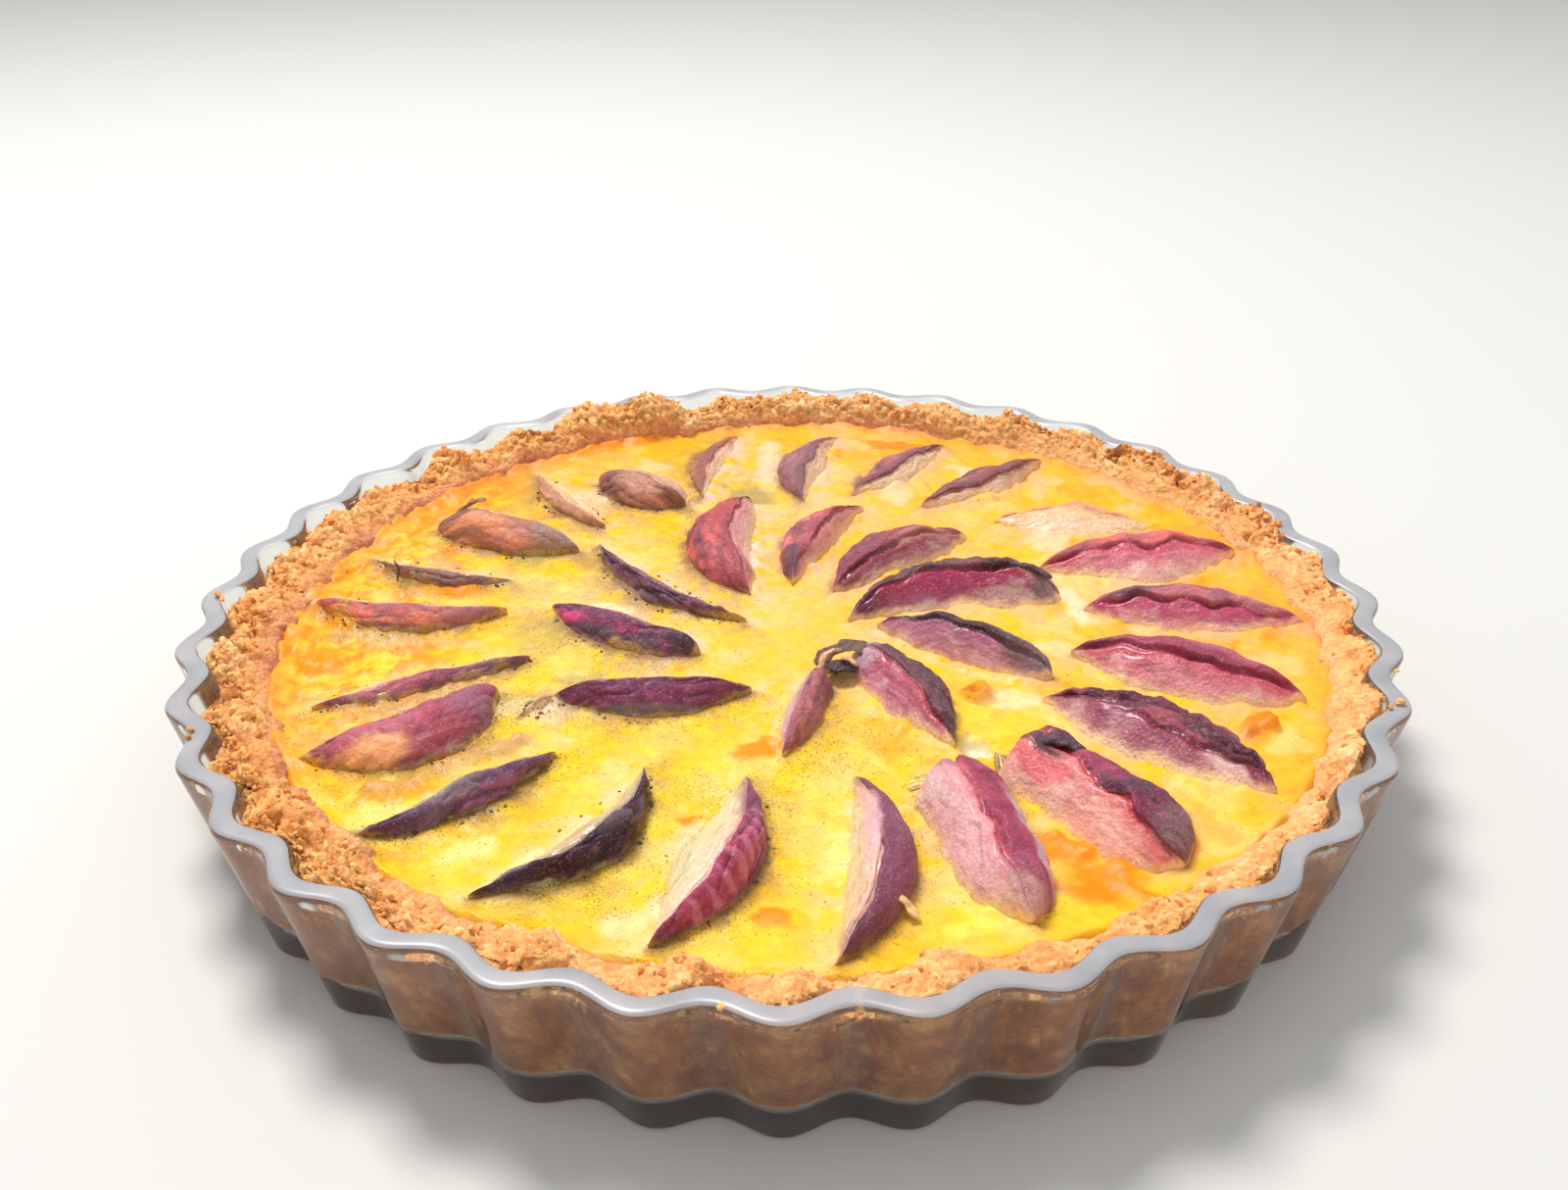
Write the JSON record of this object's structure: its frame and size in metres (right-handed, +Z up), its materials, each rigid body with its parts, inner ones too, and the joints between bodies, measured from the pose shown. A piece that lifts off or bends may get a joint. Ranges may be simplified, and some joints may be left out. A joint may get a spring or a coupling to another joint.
{
  "type": "peach tart in a glass flan dish",
  "caption": "Baked peach and custard tart with a crumbly shortcrust edge, in its clear fluted glass flan dish; peach slices fan out from the middle.",
  "frame": {"origin": "middle of the dish's flat underside", "axes": "+Z up, out of the tart; +X to the right and -Y to the front, as the reference view sees it, with a flute crest of the dish on +X"},
  "size_m": [0.28, 0.28, 0.0396],
  "materials": {
    "glass": "clear pressed glass, smooth and glossy",
    "pastry": "golden brown baked shortcrust, dry, rough and crumbly",
    "custard": "yellow baked custard, moist, satin",
    "plum": "dark purple roasted peach skin, satin",
    "mauve": "purple-brown roasted peach skin, satin",
    "crimson": "crimson roasted peach, satin",
    "rose": "rose roasted peach, satin",
    "pink": "pink cooked peach flesh, moist",
    "coral": "coral cooked peach flesh, moist",
    "rust": "rusty brown roasted peach skin, satin",
    "cream": "cream cooked peach flesh, moist"
  },
  "bodies": {
    "root": {"glass_dish": "glass", "pastry_crust": "pastry", "custard": "custard", "peach_slice_01": "mauve", "peach_slice_02": "crimson", "peach_slice_03": "plum", "peach_slice_04": "plum", "peach_slice_05": "rose", "peach_slice_06": "rose", "peach_slice_07": "coral", "peach_slice_08": "rust", "peach_slice_09": "coral", "peach_slice_10": "coral", "peach_slice_11": "rust", "peach_slice_12": "rust", "peach_slice_13": "rose", "peach_slice_14": "rose", "peach_slice_15": "rust", "peach_slice_16": "cream", "peach_slice_17": "pink", "peach_slice_18": "pink", "peach_slice_19": "pink", "peach_slice_20": "plum", "peach_slice_21": "coral", "peach_slice_22": "pink", "peach_slice_23": "plum", "peach_slice_24": "plum", "peach_slice_25": "plum", "peach_slice_26": "rose", "peach_slice_27": "rose", "peach_slice_28": "plum", "peach_slice_29": "crimson", "peach_slice_30": "rose", "peach_slice_31": "rose", "peach_slice_32": "crimson", "peach_shred": "plum"}
  },
  "joints": []
}
